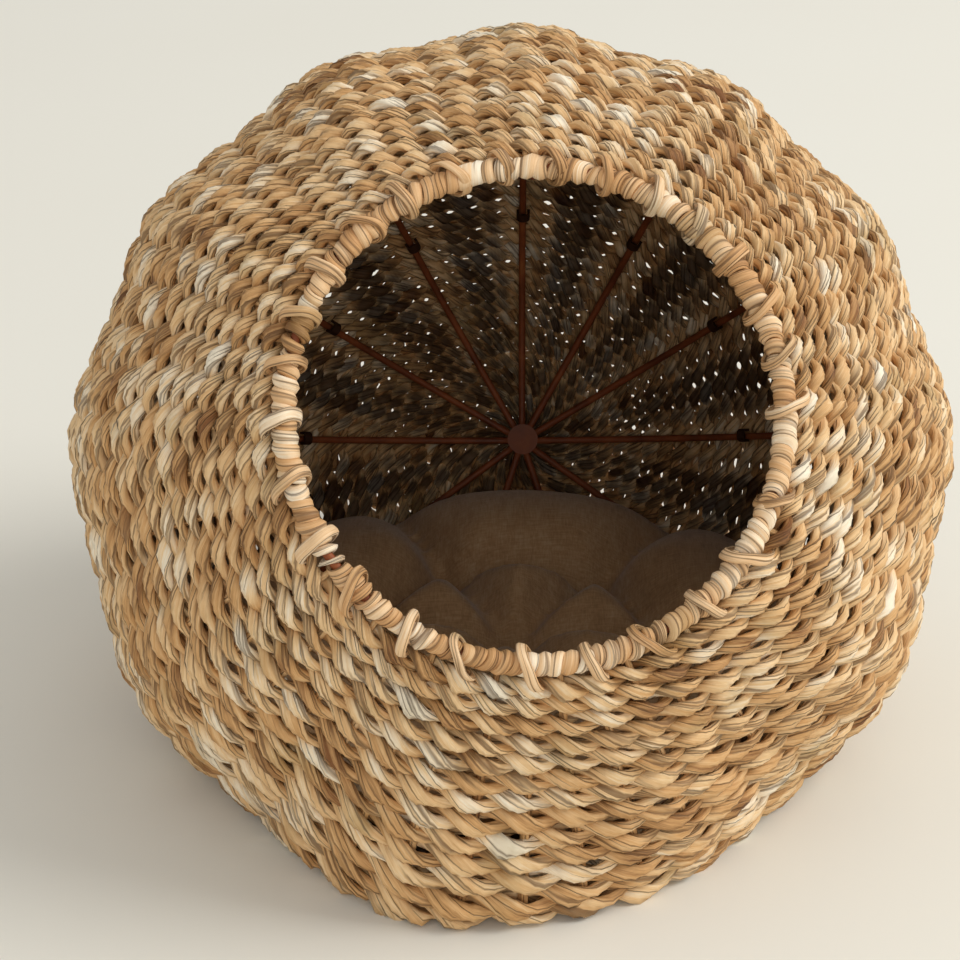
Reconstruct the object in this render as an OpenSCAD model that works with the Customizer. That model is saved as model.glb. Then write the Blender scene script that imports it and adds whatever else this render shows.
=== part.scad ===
// Ball-shaped woven cat cave on a wide flat base: twined seagrass over stakes, a wire frame inside,
// a wrapped round mouth that tips up at the front, and a tufted cushion on its floor.
// +Z is up, the mouth faces -Y, and the origin is the middle of the flat base.

/* [Ball] */
// Overall diameter of the woven ball
ball_d = 450; // [430:5:470]
// Height of the ball's centre above the floor
centre_h = 143; // [140:1:148]
// How far the foot reaches from the ball's centre, before the floor cuts it off
foot_reach = 281; // [276:1:286]
// How far the foot's axis points below level, in degrees
foot_drop = 44; // [42:1:48]

/* [Mouth] */
// Radius of the front ring, at the middle of its wire
ring_r = 113.5; // [108:0.5:118]
// How far the mouth tips up from facing forward, in degrees
mouth_tilt = 32.3; // [30:0.1:34]
// How far the mouth turns sideways, in degrees
mouth_turn = 4; // [0:0.5:5]

/* [Back] */
// How far below the centre's height the ribs meet at the back, in degrees
hub_drop = 20.5; // [18:0.5:23]
// How far the meeting point turns sideways, in degrees
hub_turn = 2; // [0:0.5:3]
// Radius of the welded hub plate
hub_r = 9; // [8:0.5:10]

/* [Weave] */
// Number of woven courses from the back to the mouth
courses = 12; // [8:1:12]
// Thickness of the front-running strands
strand_t = 6; // [5:0.5:6]
// Thickness of the stakes between the strands
stake_t = 3.4; // [3:0.1:3.4]
// Stakes in each gap between two ribs
stakes_per_gap = 5; // [3:1:5]

/* [Frame] */
// Diameter of the rib wires
rib_d = 4; // [3:0.5:4]
// Diameter of the front ring's wire
ring_d = 4.4; // [4:0.2:5]
// Outer diameter of the wrapping round the front ring
wrap_d = 10; // [9:0.5:10]
// Thickness of the lashings over the wrapping
lashing_t = 1.1; // [0.8:0.1:1.2]
// Number of lashings round the mouth
lashing_count = 27; // [11:1:33]

/* [Cushion] */
// Height of the crown above the floor
cushion_top = 68; // [62:1:72]
// Height of the sewn edge above the floor
cushion_edge = 38; // [34:1:44]
// Height of the underside's flat middle above the floor
cushion_base = 18; // [18:0.5:22]
// Thickness of the fabric
fabric_t = 1.5; // [1:0.25:2]

/* [Hidden] */
$fn = 240;

ball_r = ball_d / 2;
gap = 0.2;                                  // room between the layers of the wall
stake_depth = strand_t + gap;
back_depth = stake_depth + stake_t + gap;
wall_t = back_depth + strand_t;
floor_share = 0.85;                         // the floor's layers are this much thinner
rib_depth = wall_t + 0.9;
rib_reach = ball_r - rib_depth - rib_d / 2;
wrap_r = wrap_d / 2;
lashing_r = wrap_r + 0.1 + lashing_t;
ring_reach = ball_r - lashing_r;            // from the ball's centre to the ring's wire
ring_z = sqrt(pow(ring_reach, 2) - pow(ring_r, 2));
ring_angle = asin(ring_r / ring_reach);
mouth_edge_r = ring_r + lashing_r + 0.4;    // the weave stops here, round the mouth's axis

// Angles of the eleven ribs round the line from hub to mouth, 0 is right and 90 is up
upper_ribs = 6;
lower_ribs = 5;
rib_angles = concat([for (i = [0:upper_ribs]) 180 * i / upper_ribs],
                    [for (i = [1:lower_ribs - 1]) 180 + 180 * i / lower_ribs]);

// Foot cone, tangent to the ball, round the foot's axis
cone_angle = asin(ball_r / foot_reach);

// Directions from the ball's centre
function aimed(turn, lift) = [sin(turn) * cos(lift), -cos(turn) * cos(lift), sin(lift)];
function unit(v) = v / norm(v);
mouth_dir = aimed(mouth_turn, mouth_tilt);
foot_dir = aimed(0, -foot_drop);
hub_dir = aimed(180 - hub_turn, -hub_drop);
over_dir = unit(hub_dir - (hub_dir * mouth_dir) * mouth_dir);
hub_angle = acos(hub_dir * mouth_dir);

// Line from hub to mouth, which every rib and stake lies in a plane with
hub_point = rib_reach * hub_dir;
mouth_point = ring_z * mouth_dir;
line_dir = unit(mouth_point - hub_point);
line_polar = acos(line_dir[2]);
line_turn = atan2(line_dir[1], line_dir[0]);

// Small fittings of the frame
bead_extra = 0.6;
stub_d = rib_d - 0.4;
stake_shift = 0.25;                         // first stake after a rib, in stake spaces
tie_w = 5;
tie_r = rib_d / sqrt(2) + 1;
tie_slot = rib_d + 3 * gap;
tie_leg = 2.2;
tie_away = 127;
lashing_sweep = 2.4;

// A vector from the ball's centre, seen in the frame of the line and turned to a rib's angle
function turned(v, a) = [v[0] * cos(a) + v[1] * sin(a), v[1] * cos(a) - v[0] * sin(a), v[2]];
function in_line(v) =
    let (w = turned(v, line_turn))
    [w[0] * cos(line_polar) - w[2] * sin(line_polar), w[1], w[0] * sin(line_polar) + w[2] * cos(line_polar)];
function in_rib(v, angle) = turned(in_line(v), angle + 90);

// One course's edge: its normal leans from the hub's direction to the mouth's
function edge_over(t) = hub_angle + (ring_angle - hub_angle) * t;
function edge_under(t) = 360 - hub_angle + (ring_angle - 360 + hub_angle) * t;
function edge_normal(t) =
    let (lean = (edge_over(t) - edge_under(t)) / 2)
    cos(lean) * mouth_dir + sin(lean) * over_dir;
function edge_spread(t) = (edge_over(t) + edge_under(t)) / 2;

// Tufts of the cushion: one in the middle and a ring round it
tuft_ring_r = 85;
tuft_count = 6;
tuft_turn = 55;
tuft_d = 3;
tuft_places = concat([[0, 0]],
    [for (i = [0:tuft_count - 1]) tuft_ring_r * [cos(360 * i / tuft_count + tuft_turn), sin(360 * i / tuft_count + tuft_turn)]]);
cushion_r = rib_reach - tie_r - 0.5;
edge_r = sqrt(pow(cushion_r, 2) - pow(centre_h - cushion_edge, 2));
crown_rise = cushion_top - cushion_edge;
crown_r = (pow(edge_r, 2) + pow(crown_rise, 2)) / (2 * crown_rise);

// ---- Frames ----

module from_centre() translate([0, 0, centre_h]) children();

module facing(v) rotate([0, acos(v[2]), atan2(v[1], v[0])]) children();

module round_mouth() from_centre() facing(mouth_dir) children();

module in_rib_plane(angle)
    from_centre() translate(hub_point) facing(line_dir) rotate([0, 0, angle + 90]) children();

// ---- Wall of revolution ----

// Half outline of the ball and its foot cone round the foot's axis, at a depth below the outside
module outline(depth) {
    r = ball_r - depth;
    touch = r * [cos(cone_angle), sin(cone_angle)];
    intersection() {
        circle(r);
        translate([0, touch[1] - 2 * ball_d]) square(2 * ball_d);
    }
    polygon([[0, touch[1]], touch, [0, r / sin(cone_angle)]]);
}

// The ball cut off flat by the floor, at a depth below the outside
module inside(depth)
    difference() {
        from_centre() facing(foot_dir) rotate_extrude() outline(depth);
        translate([-ball_d, -ball_d, floor_share * depth - 2 * ball_d]) cube(2 * ball_d);
    }

module layer(depth, thickness)
    difference() {
        inside(depth);
        inside(depth + thickness);
    }

// All of a ball of radius r that lies past a course's edge, or all before it
module past_edge(t, r, side)
    from_centre() facing(edge_normal(t))
        translate([-ball_d, -ball_d, r * cos(edge_spread(t)) + side]) cube(2 * ball_d);

module beyond(t, r) past_edge(t, r, 0);

module behind(t, r) past_edge(t, r, gap - 2 * ball_d);

module mouth_hole()
    round_mouth() translate([0, 0, ball_r / 4]) cylinder(h = ball_r, r = mouth_edge_r);

// One run of a course's twined strands, between the course's two edges
module course_run(number, depth)
    difference() {
        layer(depth, strand_t);
        if (number > 1) behind((number - 1) / courses, ball_r - depth);
        if (number < courses) beyond(number / courses, ball_r - depth);
        if (number == courses) mouth_hole();
    }

// The strands' run over the outside of the stakes
module course(number)
    color(number % 2 == 0 ? "#c9a071" : "#b98f60") course_run(number, 0);

// The same strands' run behind the stakes
module backing(number)
    color(number % 2 == 0 ? "#a97f52" : "#9a7147") course_run(number, back_depth);

// ---- Stakes ----

// The stakes of one rib gap: the middle ones start further from the hub
module stakes(number) {
    a0 = rib_angles[number - 1];
    a1 = number < len(rib_angles) ? rib_angles[number] : 360;
    first = 14;                             // the middle stake starts this far from the hub line
    color("#8a6239") intersection() {
        difference() {
            layer(stake_depth, stake_t);
            mouth_hole();
        }
        for (i = [0:stakes_per_gap - 1]) {
            start = i % 5 == 2 ? first : i % 2 == 1 ? 3 * first : 5 * first;
            in_rib_plane(a0 + (a1 - a0) * (i + stake_shift) / stakes_per_gap)
                translate([start, -stake_t / 2, -ball_d / 2]) cube([ball_d, stake_t, 2 * ball_d]);
        }
    }
}

// ---- Frame ----

module front_ring()
    color("#6b4023") round_mouth() translate([0, 0, ring_z])
        rotate_extrude() translate([ring_r, 0]) circle(d = ring_d);

module back_hub()
    color("#6b4023") from_centre() facing(hub_dir)
        translate([0, 0, rib_reach - rib_d / 2]) cylinder(h = rib_d, r = hub_r);

// Where the ball's centre lies in a rib's plane, and the radius of the rib's arc
function rib_centre(angle) = in_rib(-hub_point, angle);
function rib_arc(angle) = sqrt(pow(rib_reach, 2) - pow(rib_centre(angle)[1], 2));

// The arc angle at a distance from the hub's line, and the one below the front ring
function arc_from_hub(angle, away) = -acos((away - rib_centre(angle)[0]) / rib_arc(angle));
function arc_at_ring(angle) =
    let (
        axis = in_rib(mouth_dir, angle),
        level = rib_reach * cos(ring_angle) + rib_centre(angle)[1] * axis[1])
    atan2(axis[2], axis[0]) - acos(level / (rib_arc(angle) * norm([axis[0], axis[2]])));

// Children stand on a rib's arc: X points out, Y along the rib
module on_rib(angle, arc_angle)
    in_rib_plane(angle) translate([rib_centre(angle)[0], 0, rib_centre(angle)[2]])
        rotate([90, 0, 0]) rotate([0, 0, arc_angle]) translate([rib_arc(angle), 0, 0]) children();

// The short straight end that reaches from a rib's tip up to the front ring
module rib_stub(angle, d) {
    tip = arc_at_ring(angle);
    lift = [rib_arc(angle) * cos(tip), -rib_centre(angle)[1], rib_arc(angle) * sin(tip)];
    in_rib_plane(angle) translate(rib_centre(angle)) facing(unit(lift))
        translate([0, 0, rib_reach]) cylinder(h = ring_reach - ring_d / 2 - rib_reach - 0.1, d = d);
}

// An upper rib is a round arc from the hub to the ring, with a weld bead at its end
module rib_round(angle) {
    start = arc_from_hub(angle, hub_r + 0.2);
    sweep = arc_at_ring(angle) - start;
    on_rib(angle, start) translate([-rib_arc(angle), 0, 0])
        rotate_extrude(angle = sweep) translate([rib_arc(angle), 0]) circle(d = rib_d);
    on_rib(angle, start + sweep) sphere(d = rib_d + bead_extra);
}

// A lower rib is square and follows the foot and the floor
module rib_square(angle)
    intersection() {
        difference() {
            layer(rib_depth, rib_d);
            round_mouth() translate([0, 0, ball_r / 4])
                cylinder(h = ball_r, r = rib_reach * sin(ring_angle) - rib_d / 2);
        }
        in_rib_plane(angle) translate([hub_r + 0.2, -rib_d / 2, -ball_d / 2])
            cube([ball_d, rib_d, 2 * ball_d]);
    }

// Each rib ends in a stub up to the ring
module rib(number) {
    angle = rib_angles[number - 1];
    color("#7a4a29") {
        if (number <= upper_ribs + 1) rib_round(angle);
        else rib_square(angle);
        rib_stub(angle, stub_d);
    }
}

// One strand passes over each rib above the cushion and holds it to the wall
module rib_ties()
    color("#a5794c") for (i = [0:upper_ribs]) on_rib(rib_angles[i], arc_from_hub(rib_angles[i], tie_away))
        difference() {
            union() {
                rotate([90, 0, 0]) cylinder(h = tie_w, r = tie_r, center = true);
                translate([0, -tie_w / 2, -tie_r]) cube([tie_leg, tie_w, 2 * tie_r]);
            }
            translate([-tie_slot / 2, -tie_w, -tie_slot / 2]) cube([2 * tie_slot, 2 * tie_w, tie_slot]);
            translate([tie_leg, -tie_w, -tie_w]) cube(2 * tie_w);
        }

// ---- Mouth ----

// The wrapping is open along its underside, where the rib ends come up to the ring
module rim_wrap()
    color("#d3ab7a") round_mouth() translate([0, 0, ring_z])
        rotate_extrude() translate([ring_r, 0]) difference() {
            circle(r = wrap_r);
            circle(d = ring_d + gap);
            rotate(-ring_angle) translate([-stub_d / 2 - gap, -2 * wrap_r])
                square([stub_d + 2 * gap, 2 * wrap_r]);
        }

module rim_lashings()
    color("#dcb98c") round_mouth() translate([0, 0, ring_z])
        for (i = [0:lashing_count - 1]) rotate([0, 0, 360 * i / lashing_count])
            rotate_extrude(angle = lashing_sweep) translate([ring_r, 0]) difference() {
                circle(r = lashing_r);
                circle(r = lashing_r - lashing_t);
                rotate(-ring_angle) translate([-2 * lashing_r, -2 * lashing_r])
                    square([4 * lashing_r, 1.7 * lashing_r]);
            }

// ---- Cushion ----

module cushion_outline(inset)
    intersection() {
        translate([0, centre_h]) circle(cushion_r - inset);
        translate([0, cushion_top - crown_r]) circle(crown_r - inset);
        translate([0, cushion_base + inset]) square(ball_d);
    }

module cushion_body(inset) rotate_extrude() cushion_outline(inset);

module tuft_holes(d)
    for (place = tuft_places) translate(concat(place, 0)) cylinder(h = cushion_top, d = d);

module cushion_skin()
    difference() {
        cushion_body(0);
        cushion_body(fabric_t);
        tuft_holes(tuft_d + gap);
    }

module cushion_top_panel()
    color("#c9b79c") difference() {
        cushion_skin();
        translate([-ball_r, -ball_r, 0]) cube([ball_d, ball_d, cushion_edge]);
    }

module cushion_base_panel()
    color("#bda98d") difference() {
        cushion_skin();
        translate([-ball_r, -ball_r, cushion_edge]) cube([ball_d, ball_d, cushion_edge]);
    }

module cushion_filling()
    color("#efe9dd") difference() {
        cushion_body(fabric_t + gap);
        tuft_holes(tuft_d + gap);
    }

module cushion_tuft_ties()
    color("#a8967b") intersection() {
        cushion_body(gap);
        tuft_holes(tuft_d);
    }

front_ring();
rim_wrap();
rim_lashings();
back_hub();
rib(1);  // rib_01
rib(2);  // rib_02
rib(3);  // rib_03
rib(4);  // rib_04
rib(5);  // rib_05
rib(6);  // rib_06
rib(7);  // rib_07
rib(8);  // rib_08
rib(9);  // rib_09
rib(10);  // rib_10
rib(11);  // rib_11
rib_ties();
stakes(1);  // stakes_01
stakes(2);  // stakes_02
stakes(3);  // stakes_03
stakes(4);  // stakes_04
stakes(5);  // stakes_05
stakes(6);  // stakes_06
stakes(7);  // stakes_07
stakes(8);  // stakes_08
stakes(9);  // stakes_09
stakes(10);  // stakes_10
stakes(11);  // stakes_11
course(1);  // course_01
course(2);  // course_02
course(3);  // course_03
course(4);  // course_04
course(5);  // course_05
course(6);  // course_06
course(7);  // course_07
course(8);  // course_08
course(9);  // course_09
course(10);  // course_10
course(11);  // course_11
course(12);  // course_12
backing(1);  // backing_01
backing(2);  // backing_02
backing(3);  // backing_03
backing(4);  // backing_04
backing(5);  // backing_05
backing(6);  // backing_06
backing(7);  // backing_07
backing(8);  // backing_08
backing(9);  // backing_09
backing(10);  // backing_10
backing(11);  // backing_11
backing(12);  // backing_12
cushion_top_panel();
cushion_base_panel();
cushion_filling();
cushion_tuft_ties();
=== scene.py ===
"""Looks of a ball-shaped woven pet cave: twined seagrass, wire ribs, a wrapped mouth and a tufted cushion.

Each sub-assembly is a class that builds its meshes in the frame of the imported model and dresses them.
Lengths are in metres. The mouth faces -Y, +Z is up, and the ball's centre stands over the origin.
"""

import logging
import math
from dataclasses import dataclass, field
from enum import Enum
from functools import cached_property

import bpy
import numpy as np
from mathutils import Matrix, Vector


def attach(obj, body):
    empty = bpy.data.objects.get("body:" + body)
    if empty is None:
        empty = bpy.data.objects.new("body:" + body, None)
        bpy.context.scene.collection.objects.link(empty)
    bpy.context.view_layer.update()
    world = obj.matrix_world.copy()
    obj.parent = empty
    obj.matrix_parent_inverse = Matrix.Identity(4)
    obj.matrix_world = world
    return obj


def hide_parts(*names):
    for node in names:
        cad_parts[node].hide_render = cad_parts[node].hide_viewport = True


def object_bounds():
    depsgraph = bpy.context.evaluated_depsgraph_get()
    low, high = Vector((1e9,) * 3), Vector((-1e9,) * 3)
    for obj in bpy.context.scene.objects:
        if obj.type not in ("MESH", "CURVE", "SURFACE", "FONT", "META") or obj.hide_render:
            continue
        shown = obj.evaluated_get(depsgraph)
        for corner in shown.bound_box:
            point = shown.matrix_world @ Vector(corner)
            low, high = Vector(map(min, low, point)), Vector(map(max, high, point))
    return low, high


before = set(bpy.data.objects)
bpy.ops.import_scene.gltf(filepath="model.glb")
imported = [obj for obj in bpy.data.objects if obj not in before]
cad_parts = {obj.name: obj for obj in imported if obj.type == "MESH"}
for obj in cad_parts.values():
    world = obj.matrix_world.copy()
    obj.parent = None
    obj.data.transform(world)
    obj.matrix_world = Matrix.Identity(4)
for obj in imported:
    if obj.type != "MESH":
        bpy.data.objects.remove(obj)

CAD_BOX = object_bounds()
LOG = logging.getLogger("pet_cave")
MM = 0.001


class Part(str, Enum):
    """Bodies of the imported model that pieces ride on."""

    BASKET = "basket"
    CUSHION = "cushion"


# ---------------------------------------------------------------- shader maths


class Sig:
    """A shader socket that adds a Math node for each operator used on it."""

    def __init__(self, tree: bpy.types.NodeTree, socket: bpy.types.NodeSocket) -> None:
        """Wraps a socket of a node tree.

        Args:
            tree: the material's node tree.
            socket: an output in it.
        """
        self.tree = tree
        self.socket = socket

    def _math(self, operation: str, first: "Sig | float", second: "Sig | float" = 0.0) -> "Sig":
        """Adds one Math node.

        Args:
            operation: Blender's name of the operation.
            first: left operand.
            second: right operand.

        Returns:
            The result as a new wrapped socket.
        """
        node = self.tree.nodes.new("ShaderNodeMath")
        node.operation = operation
        for slot, value in enumerate((first, second)):
            if isinstance(value, Sig):
                self.tree.links.new(value.socket, node.inputs[slot])
            else:
                node.inputs[slot].default_value = float(value)
        return Sig(self.tree, node.outputs[0])

    def __add__(self, other: "Sig | float") -> "Sig":
        """Sum.

        Args:
            other: what is added.

        Returns:
            The sum.
        """
        return self._math("ADD", self, other)

    def __radd__(self, other: float) -> "Sig":
        """Sum with a number on the left.

        Args:
            other: the number on the left.

        Returns:
            The sum.
        """
        return self._math("ADD", other, self)

    def __sub__(self, other: "Sig | float") -> "Sig":
        """Difference.

        Args:
            other: what is taken away.

        Returns:
            The difference.
        """
        return self._math("SUBTRACT", self, other)

    def __rsub__(self, other: float) -> "Sig":
        """Difference with a number on the left.

        Args:
            other: the number on the left.

        Returns:
            The difference.
        """
        return self._math("SUBTRACT", other, self)

    def __mul__(self, other: "Sig | float") -> "Sig":
        """Product.

        Args:
            other: the factor.

        Returns:
            The product.
        """
        return self._math("MULTIPLY", self, other)

    def __rmul__(self, other: float) -> "Sig":
        """Product with a number on the left.

        Args:
            other: the number on the left.

        Returns:
            The product.
        """
        return self._math("MULTIPLY", other, self)

    def absolute(self) -> "Sig":
        """The value without its sign.

        Returns:
            The value's size.
        """
        return self._math("ABSOLUTE", self)

    def clamped(self) -> "Sig":
        """The value held between 0 and 1.

        Returns:
            The value between 0 and 1.
        """
        return self._math("MINIMUM", self._math("MAXIMUM", self, 0.0), 1.0)

    def rise(self, low: float, high: float) -> "Sig":
        """0 below low, 1 above high, straight between; low may be above high.

        Args:
            low: where the rise starts.
            high: where it ends.

        Returns:
            The ramp, from 0 to 1.
        """
        return ((self - low) * (1.0 / (high - low))).clamped()


def rgb(code: str) -> tuple[float, float, float, float]:
    """Turns a six-digit display colour into the linear colour that shaders use.

    Args:
        code: six hex digits.

    Returns:
        Red, green, blue and alpha.
    """
    parts = [int(code[i:i + 2], 16) / 255 for i in (0, 2, 4)]
    linear = [c / 12.92 if c <= 0.04045 else ((c + 0.055) / 1.055) ** 2.4 for c in parts]
    return (*linear, 1.0)


class Shader:
    """A material's node tree with a Principled shader, and the few calls that fill it."""

    def __init__(self, name: str, roughness: float, **constants: float) -> None:
        """Makes the material.

        Args:
            name: the material's name.
            roughness: roughness of the shader where nothing is linked.
            constants: other inputs of the Principled shader, spaces written as underscores.
        """
        self.material = bpy.data.materials.new(name)
        self.material.use_nodes = True
        self.tree = self.material.node_tree
        self.principled = self.tree.nodes["Principled BSDF"]
        self.principled.inputs["Roughness"].default_value = roughness
        for key, value in constants.items():
            self.principled.inputs[key.replace("_", " ")].default_value = value

    def node(self, kind: str, settings: dict | None = None, output: int | str = 0, **values: object) -> Sig:
        """Adds any node.

        Args:
            kind: node type without its "ShaderNode" start.
            settings: properties, set first.
            output: which output to return.
            values: inputs by name, spaces written as underscores, or by number, as i0.

        Returns:
            The chosen output.
        """
        node = self.tree.nodes.new("ShaderNode" + kind)
        for key, value in (settings or {}).items():
            if key == "stops":
                self._fill_ramp(node.color_ramp, value)
            else:
                setattr(node, key, value)
        for key, value in values.items():
            numbered = key[0] == "i" and key[1:].isdigit()
            socket = node.inputs[int(key[1:]) if numbered else key.replace("_", " ")]
            if isinstance(value, Sig):
                self.tree.links.new(value.socket, socket)
            else:
                socket.default_value = value
        return Sig(self.tree, node.outputs[output])

    @staticmethod
    def _fill_ramp(ramp: bpy.types.ColorRamp, stops: list[tuple[float, tuple]]) -> None:
        """Gives a colour ramp its stops.

        Args:
            ramp: the ramp.
            stops: places from 0 to 1, each with a colour.
        """
        while len(ramp.elements) < len(stops):
            ramp.elements.new(1.0)
        for element, (place, colour) in zip(ramp.elements, stops):
            element.position = place
            element.color = colour

    def ramp(self, factor: Sig, stops: list[tuple[float, tuple]]) -> Sig:
        """A colour ramp.

        Args:
            factor: place on the ramp.
            stops: places from 0 to 1, each with a colour.

        Returns:
            The colour.
        """
        return self.node("ValToRGB", {"stops": stops}, Fac=factor)

    def mix(self, factor: Sig | float, first: Sig | tuple, second: Sig | tuple) -> Sig:
        """Mixes two colours.

        Args:
            factor: share of the second colour.
            first: colour at 0.
            second: colour at 1.

        Returns:
            The mixed colour.
        """
        return self.node("Mix", {"data_type": "RGBA"}, 2, i0=factor, i6=first, i7=second)

    def attribute(self, name: str) -> Sig:
        """A number kept on the mesh.

        Args:
            name: the attribute's name.

        Returns:
            Its value.
        """
        return self.node("Attribute", {"attribute_name": name}, "Fac")

    def place(self) -> Sig:
        """Object coordinates.

        Returns:
            Position in metres.
        """
        return self.node("TexCoord", output="Object")

    def uv(self) -> Sig:
        """The piece's own map: round the strand, then along it in metres.

        Returns:
            The map's coordinates.
        """
        return self.node("UVMap", {"uv_map": "UVMap"})

    def stretch(self, vector: Sig, scale: tuple[float, float, float]) -> Sig:
        """Scales a vector.

        Args:
            vector: coordinates.
            scale: factor on each axis.

        Returns:
            Scaled coordinates.
        """
        return self.node("Mapping", {"vector_type": "POINT"}, i0=vector, i3=scale)

    def noise(self, vector: Sig, scale: float, detail: float = 2.0, rough: float = 0.5) -> Sig:
        """Plain noise between 0 and 1.

        Args:
            vector: coordinates.
            scale: cells to a unit.
            detail: octaves.
            rough: strength of each finer octave.

        Returns:
            The noise.
        """
        return self.node("TexNoise", None, 0, Vector=vector, Scale=scale, Detail=detail, Roughness=rough)

    def distance(self, vector: Sig, point: tuple[float, float, float]) -> Sig:
        """Distance of a position from a point.

        Args:
            vector: the position.
            point: the point.

        Returns:
            The distance.
        """
        return self.node("VectorMath", {"operation": "DISTANCE"}, "Value", i0=vector, i1=point)

    def finish(self, colour: Sig, height: Sig, depth: float, rough: Sig | None = None) -> bpy.types.Material:
        """Links colour, bump and roughness.

        Args:
            colour: base colour.
            height: bump height, 0 to 1.
            depth: how high 1 stands, in metres.
            rough: roughness, where it varies.

        Returns:
            The finished material.
        """
        bump = self.node("Bump", None, 0, Height=height, Distance=depth, Strength=1.0)
        self.tree.links.new(colour.socket, self.principled.inputs["Base Color"])
        self.tree.links.new(bump.socket, self.principled.inputs["Normal"])
        if rough is not None:
            self.tree.links.new(rough.socket, self.principled.inputs["Roughness"])
        return self.material


@dataclass(frozen=True)
class Seagrass:
    """Dry twisted seagrass: fibre lines along the strand, straw to tan, dull; painted shade in creases and
    inside the ball.
    """

    name: str
    dark: str = "80522b"
    tan: str = "d1a26b"
    straw: str = "ecc998"
    pale: str = "f8ebd3"
    green: str = "8f7c4c"
    # fold: colour of the painted shade in the strands' creases
    fold: str = "4a2a12"
    # shade, inside and the two depths below paint shade on the strands inside the ball; inside is the share
    # of the strand colour that stays there
    shade: str = "2c1305"
    shift: float = 0.0
    inside: float = 0.15
    inner_shade_start: float = 9.5 * MM
    inner_shade_full: float = 13.5 * MM
    relief: float = 1.3 * MM

    def make(self, ball: "Ball") -> bpy.types.Material:
        """Makes the material for the ball's own size.

        Args:
            ball: the ball, whose inside gets the painted shade.

        Returns:
            The material.
        """
        s = Shader(self.name, 0.62, Specular_IOR_Level=0.32)
        uv = s.uv()
        fold = s.noise(s.stretch(uv, (4.0, 9.0, 1.0)), 1.0, 1.0, 0.5)
        fibre = s.noise(s.stretch(uv, (14.0, 40.0, 1.0)), 1.0, 3.0, 0.65)
        thread = s.noise(s.stretch(uv, (46.0, 90.0, 1.0)), 1.0, 2.0, 0.6)
        patch = s.noise(s.place(), 22.0, 2.0)
        crease = (fold - 0.5).absolute().rise(0.045, 0.0)
        tone = (s.attribute("tint") + (fold - 0.5) * 0.5 + (fibre - 0.5) * 0.6 + (patch - 0.5) * 0.4
                + (thread - 0.5) * 0.3 + self.shift)
        colour = s.ramp(((tone - 0.5) * 1.2 + 0.53).clamped(), [(0.0, rgb(self.dark)), (0.35, rgb(self.tan)),
                                         (0.68, rgb(self.straw)), (1.0, rgb(self.pale))])
        greenish = s.noise(s.place(), 31.0, 1.0).rise(0.6, 0.72)
        colour = s.mix(greenish * 0.3, colour, rgb(self.green))
        # painted shade: the strands' creases are darkened towards the fold colour
        colour = s.mix(crease * 0.7, colour, rgb(self.fold))
        # painted shade: strands on the inner side of the wall blend towards the shade colour, standing in for
        # the shade inside the ball
        reach = s.distance(s.place(), (0.0, 0.0, ball.centre_z))
        inside = reach.rise(ball.radius - self.inner_shade_start, ball.radius - self.inner_shade_full)
        colour = s.mix(inside * (1.0 - self.inside), colour, rgb(self.shade))
        return s.finish(colour, fibre * 0.35 + thread * 0.2 + fold * 0.45 - crease * 0.35, self.relief)


@dataclass(frozen=True)
class PaintedWire:
    """Rust-brown painted wire, with duller worn patches."""

    name: str = "frame_wire"

    def make(self) -> bpy.types.Material:
        """Makes the material.

        Returns:
            The material.
        """
        s = Shader(self.name, 0.5, Specular_IOR_Level=0.4)
        patch = s.noise(s.place(), 60.0, 3.0)
        grit = s.noise(s.place(), 900.0, 2.0)
        colour = s.ramp(patch, [(0.3, rgb("6b3418")), (0.6, rgb("8f4a24")), (0.8, rgb("a5602f"))])
        return s.finish(colour, grit, 0.15 * MM, 0.42 + patch * 0.25)


@dataclass(frozen=True)
class Linen:
    """Greige linen: a plain weave of slubby threads with soft mottling."""

    name: str = "linen"
    thread: float = 1300.0

    def make(self) -> bpy.types.Material:
        """Makes the material.

        Returns:
            The material.
        """
        s = Shader(self.name, 0.9, Specular_IOR_Level=0.15, Sheen_Weight=0.25, Sheen_Roughness=0.5)
        place = s.place()
        warp = s.noise(s.stretch(place, (1.0, 0.09, 0.3)), self.thread, 2.0)
        weft = s.noise(s.stretch(place, (0.09, 1.0, 0.3)), self.thread, 2.0)
        slub = s.noise(s.stretch(place, (1.0, 0.25, 0.5)), 160.0, 3.0)
        patch = s.noise(place, 14.0, 2.0)
        weave = (warp + weft) * 0.5
        tone = weave * 0.6 + slub * 0.25 + patch * 0.15
        colour = s.ramp(tone, [(0.3, rgb("8e6c48")), (0.5, rgb("b48f68")), (0.7, rgb("cdae8b"))])
        return s.finish(colour, weave, 0.5 * MM)


# ---------------------------------------------------------------- the ball's shape


def unit(v: np.ndarray) -> np.ndarray:
    """Vectors scaled to length one.

    Args:
        v: vectors along the last axis.

    Returns:
        The same directions at length one.
    """
    return v / np.linalg.norm(v, axis=-1, keepdims=True)


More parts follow.
